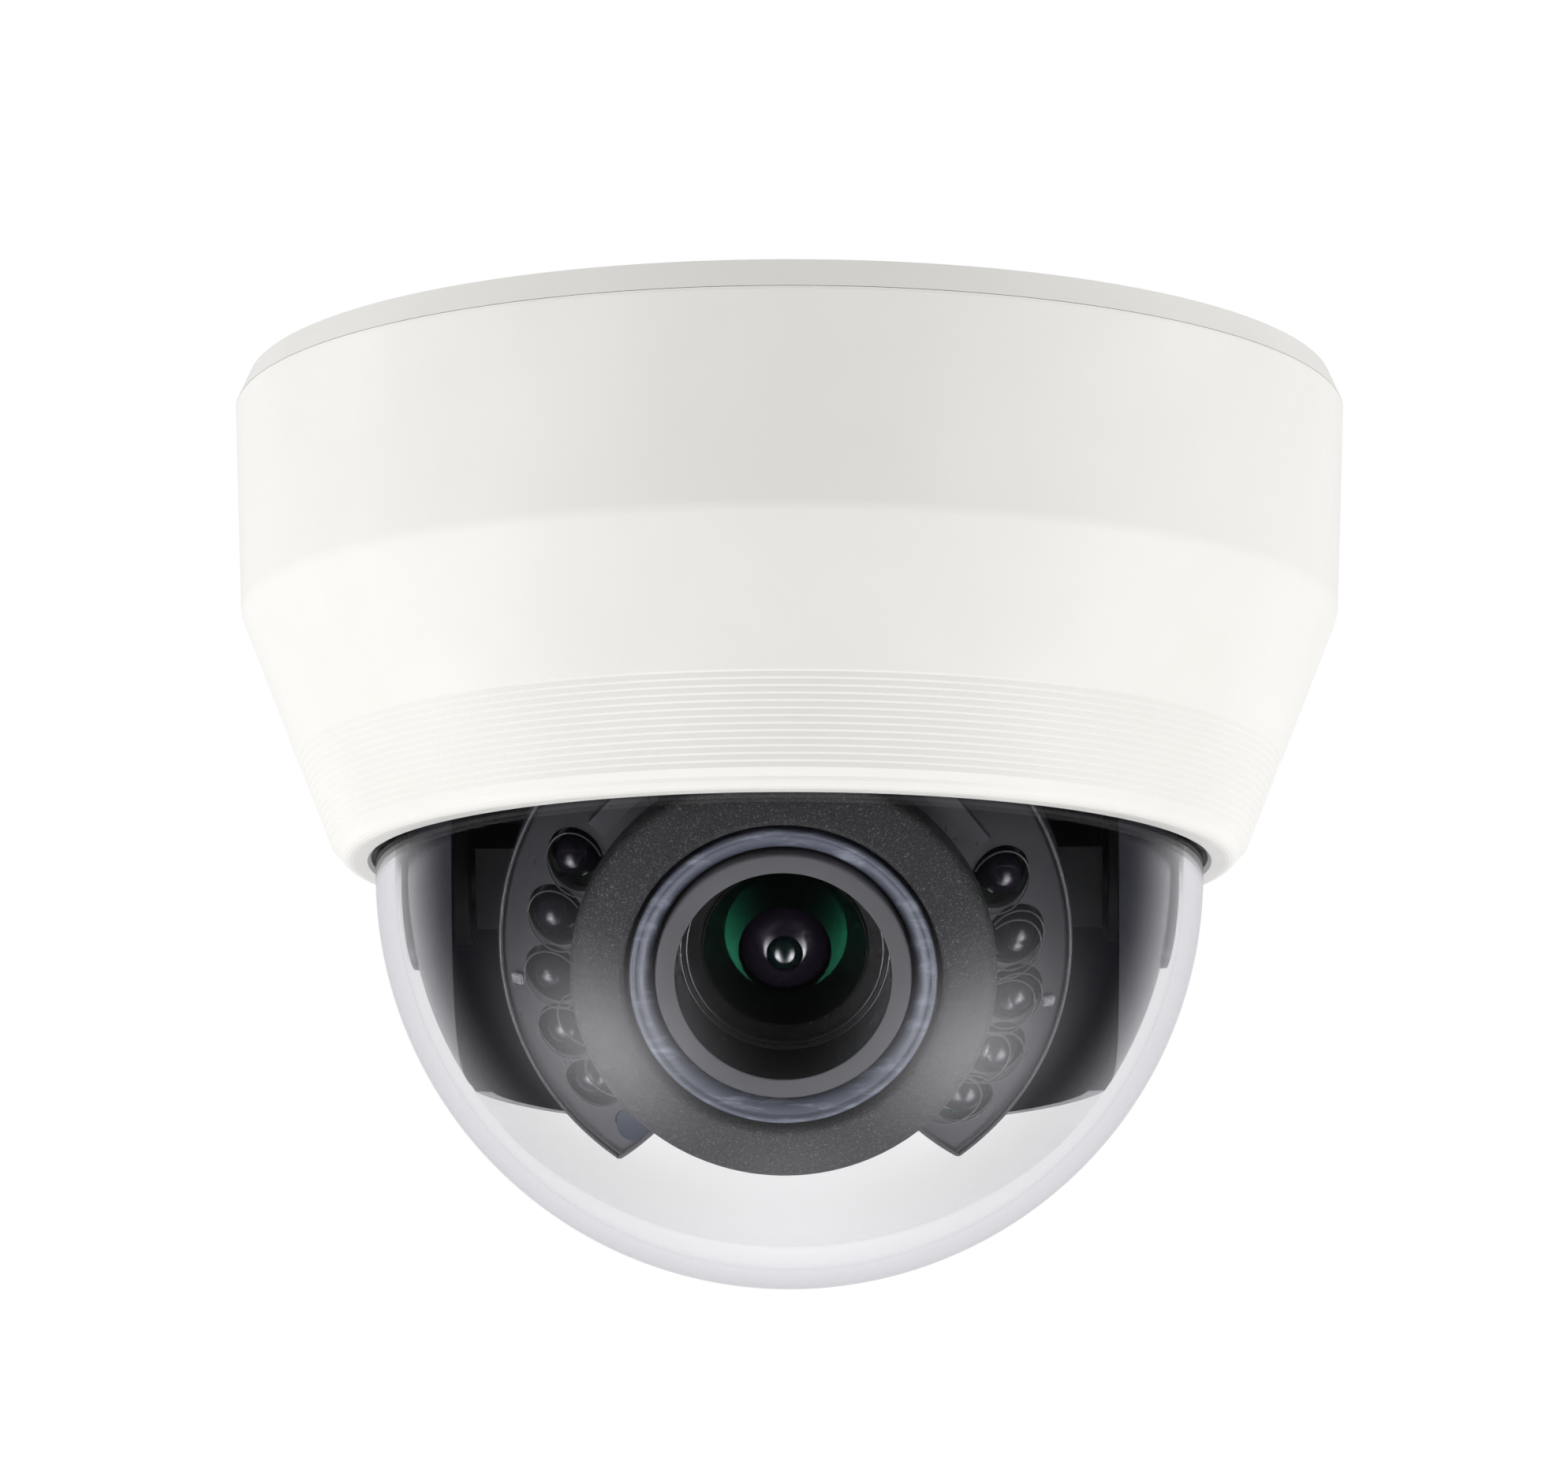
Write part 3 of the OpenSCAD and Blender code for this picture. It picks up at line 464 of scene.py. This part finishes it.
ON_AXIS = 1e-7


def lathe_mesh(name, outline, place, segments=256):
    """A closed ring of (radius, height) points in metres, turned about Z and moved by place."""
    work = bmesh.new()
    rings = []
    for radius, height in outline:
        if radius < ON_AXIS:
            rings.append([work.verts.new((0, 0, height))])
            continue
        ring = []
        for step in range(segments):
            turn = 2 * math.pi * step / segments
            ring.append(work.verts.new((radius * math.cos(turn), radius * math.sin(turn), height)))
        rings.append(ring)
    for first, second in zip(rings, rings[1:] + rings[:1]):
        if len(first) == 1 and len(second) == 1:
            continue
        for step in range(segments):
            after = (step + 1) % segments
            corners = [first[step % len(first)], first[after % len(first)],
                       second[after % len(second)], second[step % len(second)]]
            work.faces.new(list(dict.fromkeys(corners)))
    bmesh.ops.recalc_face_normals(work, faces=work.faces)
    mesh = bpy.data.meshes.new(name)
    work.to_mesh(mesh)
    work.free()
    mesh.transform(place)
    return mesh


def arc(x, z, radius, start, end, steps):
    """Points of an arc in the outline's plane, angles in degrees."""
    turns = [math.radians(start + (end - start) * step / steps) for step in range(steps + 1)]
    return [(x + radius * math.cos(turn), z + radius * math.sin(turn)) for turn in turns]


# ---------------------------------------------------------------- the dome


def build_dome():
    """The clear bubble and its flange, turned finer than the CAD's."""
    inner = about_centre("dome")[0]
    flange_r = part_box("dome")[1].x
    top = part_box("dome")[1].z - CENTRE.z
    flange_t = 2 * MM
    outline = [(flange_r, top), (flange_r, top - flange_t), (DOME_R, top - flange_t)]
    outline += arc(0, 0, DOME_R, 0, -90, 72)
    outline += arc(0, 0, inner, -90, 0, 72)
    outline += [(inner, top)]
    mesh = lathe_mesh("dome_bubble", outline, Matrix.Translation(CENTRE))
    shade(mesh, angle=40)
    piece("dome_bubble", mesh, "cover", CLEAR, ["dome"])


build_dome()

# ---------------------------------------------------------------- the lens head


def head_lathe(name, outline, body, material, replaced, angle=20):
    """A turned piece of the lens head. Outline points are (radius, distance along the lens), in metres."""
    mesh = lathe_mesh(name, outline, HEAD)
    shade(mesh, angle)
    return piece(name, mesh, body, material, replaced)


def tube_mesh(name, path, radius, place, closed=True, sides=10):
    """A round bead along a path of local points."""
    work = bmesh.new()
    count = len(path)
    rings = []
    for index, here in enumerate(path):
        before = path[index - 1] if closed or index else here
        after = path[(index + 1) % count] if closed or index < count - 1 else here
        along = (after - before).normalized()
        side = along.cross(Vector((0, 0, 1))).normalized()
        up = side.cross(along).normalized()
        rings.append([work.verts.new(here + radius * (math.cos(turn) * side + math.sin(turn) * up))
                      for turn in (2 * math.pi * step / sides for step in range(sides))])
    pairs = list(zip(rings, rings[1:] + rings[:1])) if closed else list(zip(rings, rings[1:]))
    for first, second in pairs:
        for step in range(sides):
            after = (step + 1) % sides
            work.faces.new((first[step], first[after], second[after], second[step]))
    if not closed:
        work.faces.new(rings[0])
        work.faces.new(rings[-1])
    bmesh.ops.recalc_face_normals(work, faces=work.faces)
    mesh = bpy.data.meshes.new(name)
    work.to_mesh(mesh)
    work.free()
    mesh.transform(place)
    shade(mesh, angle=50)
    return mesh


def join(name, meshes):
    """One mesh of several."""
    work = bmesh.new()
    for mesh in meshes:
        work.from_mesh(mesh)
    joined = bpy.data.meshes.new(name)
    work.to_mesh(joined)
    work.free()
    return joined


SKIRT_BACK, BEZEL_FRONT, CELL_IN, BEZEL_R = along_lens("front_cell")
RETAIN_BACK, RETAIN_FRONT, RETAIN_IN, SEAT_R = along_lens("retaining_ring")
GLASS_BACK = along_lens("front_lens")[0]
OPEN_R = SEAT_R + 0.1 * MM
GLASS_EDGE = RETAIN_BACK - 0.35 * MM


def build_bezel():
    """The sliding front of the lens: matte bezel outside, satin walls with shallow flats inside."""
    soft, corner = 0.3 * MM, 0.15 * MM
    flats, hair = 24, 0.01 * MM
    shelf_r, skirt_r = OPEN_R - 1.2 * MM, CELL_IN + 2.2 * MM
    shelf_top, shelf_end = GLASS_BACK - 0.8 * MM, GLASS_BACK - 1.7 * MM
    outline = [(BEZEL_R, SKIRT_BACK), (BEZEL_R, BEZEL_FRONT - soft)]
    outline += arc(BEZEL_R - soft, BEZEL_FRONT - soft, soft, 15, 90, 6)
    outline += arc(OPEN_R + corner, BEZEL_FRONT - corner, corner, 90, 180, 8)
    outline += [(OPEN_R, BEZEL_FRONT - 0.6 * MM), (OPEN_R, BEZEL_FRONT - 0.8 * MM),
                (SEAT_R, RETAIN_FRONT + 0.3 * MM), (SEAT_R, RETAIN_FRONT), (SEAT_R, GLASS_BACK),
                (shelf_r, shelf_top), (shelf_r, shelf_end), (skirt_r, shelf_end), (skirt_r, SKIRT_BACK)]
    mesh = lathe_mesh("front_bezel", outline, UPRIGHT, segments=480)
    for vertex in mesh.vertices:
        radius = math.hypot(vertex.co.x, vertex.co.y)
        in_wall = RETAIN_FRONT + 0.2 * MM < vertex.co.z < BEZEL_FRONT - 0.7 * MM
        if radius < OPEN_R + hair and in_wall:
            turn = math.atan2(vertex.co.y, vertex.co.x) % (2 * math.pi / flats) - math.pi / flats
            scale = math.cos(math.pi / flats) / math.cos(turn)
            vertex.co.x *= scale
            vertex.co.y *= scale
    mesh.transform(HEAD)
    shade(mesh, angle=13)
    made = piece("front_bezel", mesh, "front_group", BEZEL, ["front_cell"])
    made.data.materials.append(SATIN)
    inside = HEAD.inverted()
    for face in made.data.polygons:
        middle = inside @ face.center
        if math.hypot(middle.x, middle.y) < OPEN_R + 2 * hair and middle.z < BEZEL_FRONT - 0.12 * MM:
            face.material_index = 1


def build_lens_ring():
    """The thin ring that holds the front glass, with a bead at each edge."""
    bead, sunk, inset = 0.13 * MM, 0.25 * MM, 0.35 * MM
    outline = [(SEAT_R, RETAIN_BACK), (SEAT_R, RETAIN_FRONT - bead)]
    outline += arc(SEAT_R - bead, RETAIN_FRONT - bead, bead, 0, 180, 10)
    outline += [(SEAT_R - inset, RETAIN_FRONT - sunk), (RETAIN_IN + inset, RETAIN_FRONT - sunk)]
    outline += arc(RETAIN_IN + bead, RETAIN_FRONT - bead, bead, 0, 180, 10)
    outline += [(RETAIN_IN, RETAIN_BACK)]
    head_lathe("lens_ring", outline, "front_group", RING, ["retaining_ring"])


def crowned(ball, top, start_r, end_r, steps):
    """Points of a sphere's front, from one radius to another. Its centre is at depth top."""
    radii = [start_r + (end_r - start_r) * step / steps for step in range(steps + 1)]
    return [(radius, top + math.sqrt(ball ** 2 - radius ** 2)) for radius in radii]


def build_glass():
    """The front glass in its stop. Gives the depth of the round window in its middle."""
    ball, edge, window = 26 * MM, 8.4 * MM, 4.8 * MM
    seat, proud = GLASS_EDGE + 0.2 * MM, 0.06 * MM
    top = seat - math.sqrt(ball ** 2 - edge ** 2)
    slack = 0.03 * MM
    stop_r = SEAT_R - 0.05 * MM
    stop = [(stop_r, GLASS_BACK), (stop_r, GLASS_EDGE), (edge + 0.3 * MM, seat - 0.3 * MM),
            (edge + 0.15 * MM, seat + proud), (edge + slack, seat + proud), (edge + slack, GLASS_BACK)]
    head_lathe("glass_stop", stop, "front_group", SATIN, ["front_lens"])
    crown = crowned(ball, top, edge, window, 40)
    window_z = crown[-1][1]
    glass = [(edge, GLASS_BACK)] + crown
    glass += [(window - 0.08 * MM, window_z - 0.08 * MM), (window - 0.1 * MM, window_z - 1.6 * MM),
              (window, GLASS_BACK)]
    head_lathe("front_glass", glass, "front_group", LENS_GLASS, ["front_lens"], angle=30)
    return window_z


def build_inner_elements(window_z):
    """The two small elements that show in the window of the front glass."""
    ball, reach, core_r = 5.2 * MM, 4.55 * MM, 1.9 * MM
    bed = window_z - 1.3 * MM
    crown = crowned(ball, bed - math.sqrt(ball ** 2 - reach ** 2), reach, core_r, 30)
    rim = crown[-1][1]
    outer = [(reach, GLASS_BACK)] + crown
    outer += [(core_r - 0.1 * MM, rim - 0.25 * MM), (core_r - 0.1 * MM, GLASS_BACK)]
    head_lathe("inner_element", outer, "front_group", BALL, ["front_lens"], angle=30)
    dot_r, dot_z, squash = core_r - 0.12 * MM, rim - 0.3 * MM, 0.75
    core = [(dot_r, GLASS_BACK)]
    core += [(dot_r * math.cos(turn), dot_z + squash * dot_r * math.sin(turn))
             for turn in (math.radians(5 * step) for step in range(18))]
    core += [(0, dot_z + squash * dot_r), (0, GLASS_BACK)]
    head_lathe("core_element", core, "front_group", CORE, ["front_lens"], angle=30)


def build_hood():
    """Rubber ring between foam and lens, hollowed towards the lens."""
    back, front, inner, outer = along_lens("hood_ring")
    lip = 0.35 * MM
    outline = [(inner, back), (outer, back), (outer, front - lip)]
    outline += arc(outer - lip, front - lip, lip, 10, 150, 9)
    hollow, fall = outer - 2 * lip - inner, 1.9 * MM
    outline += [(outer - 2 * lip - hollow * math.sin(turn), front - lip - fall * (1 - math.cos(turn)))
                for turn in (math.radians(6 * step) for step in range(1, 16))]
    head_lathe("hood_cup", outline, "lens_head", HOOD, ["hood_ring"])


def build_foam():
    """Foam disc with a granular face."""
    back, front, inner, outer = along_lens("light_shield")
    edge, crest = 1.2 * MM, 0.9 * MM
    outline = [(inner, back), (outer, back)]
    outline += arc(outer - edge, front - edge - crest, edge, 0, 80, 12)
    start, end = outline[-1], (inner + 0.6 * MM, front)
    steps = 34
    outline += [(start[0] + (end[0] - start[0]) * step / steps, start[1] + (end[1] - start[1]) * step / steps)
                for step in range(1, steps + 1)]
    outline += [(inner + 0.25 * MM, front - 0.15 * MM), (inner, front - 0.6 * MM)]
    grain_size, grain_height = 0.35 * MM, 0.035 * MM
    mesh = lathe_mesh("foam_disc", outline, UPRIGHT, segments=900)
    for vertex in mesh.vertices:
        if vertex.co.z > back + 0.5 * MM:
            vertex.co.z += grain_height * noise_at(vertex.co / grain_size)
    mesh.transform(HEAD)
    shade(mesh, angle=60)
    piece("foam_disc", mesh, "lens_head", FOAM, ["light_shield"])


def solid_middles(node, gap=3.5 * MM):
    """Middles of a node's separate solids across the lens, each solid less than twice the gap wide."""
    boxes = []
    for vertex in nodes[node].data.vertices:
        spot = (HEAD.inverted() @ vertex.co).to_2d()
        for box in boxes:
            if (spot - box[0]).length < 2 * gap and (spot - (box[0] + box[1]) / 2).length < gap:
                box[0] = Vector((min(box[0].x, spot.x), min(box[0].y, spot.y)))
                box[1] = Vector((max(box[1].x, spot.x), max(box[1].y, spot.y)))
                break
        else:
            boxes.append([spot, spot])
    return [(low + high) / 2 for low, high in boxes]


LED_SPOTS = solid_middles("leds")


def build_leds():
    """Domed LEDs standing a little below the edges of their holes, each on its collar."""
    back, front, _, _ = along_lens("leds")
    lens_r, collar_r, recess = 2.2 * MM, 2.85 * MM, 0.9 * MM
    collar_top, soft, tip = back + 1.0 * MM, 0.1 * MM, front - recess
    outline = [(0, back), (collar_r, back), (collar_r, collar_top - soft),
               (collar_r - 1.5 * soft, collar_top), (lens_r, collar_top)]
    outline += arc(0, tip - lens_r, lens_r, 0, 88, 20) + [(0, tip)]
    lamps = [lathe_mesh("lamp", outline, HEAD @ Matrix.Translation(spot.to_3d()), segments=64)
             for spot in LED_SPOTS]
    mesh = join("led_lamps", lamps)
    shade(mesh)
    piece("led_lamps", mesh, "lens_head", LED, ["leds"])


COVER_SPOTS = [HEAD.inverted() @ vertex.co for vertex in nodes["led_cover"].data.vertices]
COVER_SHELL = max(spot.length for spot in COVER_SPOTS if spot.y < 0)
COVER_R = max(math.hypot(spot.x, spot.y) for spot in COVER_SPOTS if spot.y < 0)
FOAM_R = along_lens("light_shield")[3]


def on_shell(x, y, sink=0.06 * MM):
    """A point of the head's frame, a little under the cover's outer sphere."""
    return Vector((x, y, math.sqrt(COVER_SHELL ** 2 - x * x - y * y) - sink))


def build_cover_rims():
    """Rolled rims of the LED holes and the rounded edges of the cover."""
    hole_r, hole_bead, edge_bead, edge_sink = 3.02 * MM, 0.10 * MM, 0.25 * MM, 0.12 * MM
    rims = []
    for centre in LED_SPOTS:
        facing = math.atan2(centre.y, centre.x)
        ring = [(centre.x + hole_r * math.cos(facing + turn), centre.y + hole_r * math.sin(facing + turn))
                for turn in (math.radians(3 * step - 180) for step in range(120))]
        kept = [on_shell(x, y) for x, y in ring if math.hypot(x, y) > FOAM_R + 0.1 * MM]
        rims.append(tube_mesh("rim", kept, hole_bead, HEAD, closed=len(kept) == len(ring)))

    def edge(name, polar):
        path = [on_shell(radius * math.cos(turn), radius * math.sin(turn), edge_sink)
                for radius, turn in polar]
        rims.append(tube_mesh(name, path, edge_bead, HEAD, closed=False))

    edge_r = COVER_R - 0.2 * MM
    sweep = [math.radians(-50 + 2 * step) for step in range(144)]
    edge("edge", [(edge_r, turn) for turn in sweep])
    for turn in (sweep[0], sweep[-1]):
        edge("end", [(FOAM_R + 0.2 * MM + (edge_r - FOAM_R) * step / 20, turn) for step in range(20)])
    piece("cover_rims", join("cover_rims", rims), "lens_head", COVER)


def build_snap_notches():
    """The two small blocks that stand on the cover's outer edge, left and right."""
    length, width, height, soft = 1.7 * MM, 1.1 * MM, 0.5 * MM, 0.12 * MM
    reach, drop = 27.6 * MM, 9.2
    blocks = []
    for turn in (math.radians(-drop), math.radians(180 + drop)):
        work = bmesh.new()
        bmesh.ops.create_cube(work, size=1)
        bmesh.ops.scale(work, vec=(length, width, height), verts=work.verts)
        bmesh.ops.bevel(work, geom=work.edges[:], offset=soft, segments=3, affect="EDGES")
        mesh = bpy.data.meshes.new("notch")
        work.to_mesh(mesh)
        work.free()
        spot = on_shell(reach * math.cos(turn), reach * math.sin(turn))
        out = spot.normalized()
        right = Vector((math.cos(turn), math.sin(turn), 0))
        right = (right - out * right.dot(out)).normalized()
        mesh.transform(HEAD @ matrix_from(right, out.cross(right), out, spot))
        shade(mesh, angle=30)
        blocks.append(mesh)
    piece("snap_notches", join("snap_notches", blocks), "lens_head", NOTCH)


def build_seam():
    """Closes the joint between the base and the housing to a hairline."""
    inner, outer = BODY_R - 2 * MM, BODY_R - 0.03 * MM
    low, high = JOINT_Z + 0.01 * MM, JOINT_Z + 0.24 * MM
    mesh = lathe_mesh("seam_ring", [(inner, low), (outer, low), (outer, high), (inner, high)], UPRIGHT)
    shade(mesh)
    piece("seam_ring", mesh, "cover", WHITE)


build_bezel()
build_lens_ring()
build_inner_elements(build_glass())
build_hood()
build_foam()
build_leds()
build_cover_rims()
build_snap_notches()
build_seam()

GLOW_SIZE = 0.03
GLOW_POWER = 0.03
HEAD_FACE = [bpy.data.objects[name] for name in ("foam_disc", "hood_cup", "cover_rims", "snap_notches")]
HEAD_FACE.append(nodes["led_cover"])


def build_glow():
    """Two small lamps low in front of the dome, which light only the face of the lens head."""
    lit = bpy.data.collections.new("head_face")
    for shown in HEAD_FACE:
        lit.objects.link(shown)
    for name, side in (("left_glow", -1), ("right_glow", 1)):
        place = HEAD @ (Vector((side * 46, -30, 78)) * MM)
        target = HEAD @ (Vector((side * 17, -12, 33)) * MM)
        lamp = softbox(name, place, target, GLOW_SIZE, GLOW_POWER)
        lamp.light_linking.receiver_collection = lit


build_glow()

# ---------------------------------------------------------------- finishes of the carried-over CAD nodes

FINISH = {
    "mounting_base": WHITE, "housing": WHITE, "dome_gasket": RUBBER, "clamp_ring": BLACK,
    "liner": LINER, "pan_table": BRACKET, "yoke": BRACKET, "tilt_cradle": BRACKET,
    "lens_holder": BRACKET, "led_bracket": BRACKET, "filter_frame": BRACKET,
    "lens_barrel": BLACK, "zoom_ring": BLACK, "focus_ring": BLACK, "zoom_cell": BLACK,
    "front_cell": BEZEL, "retaining_ring": BLACK, "hood_ring": HOOD, "light_shield": FOAM,
    "led_cover": COVER, "leds": LED, "light_sensor": SENSOR, "pan_hub": WHITE, "main_board": BOARD,
    "sensor_board": BOARD, "led_board": BOARD, "processor": CHIP, "image_sensor": CHIP,
    "network_socket": STEEL, "card_socket": STEEL, "power_terminal": GREEN,
    "filter_carrier": PALE, "front_lens": LENS_GLASS, "zoom_lens": LENS_GLASS,
    "rear_lens": LENS_GLASS, "ir_filter": LENS_GLASS,
}

for name, node in nodes.items():
    shade(node.data)
    node.data.materials.clear()
    node.data.materials.append(FINISH.get(name, STEEL))
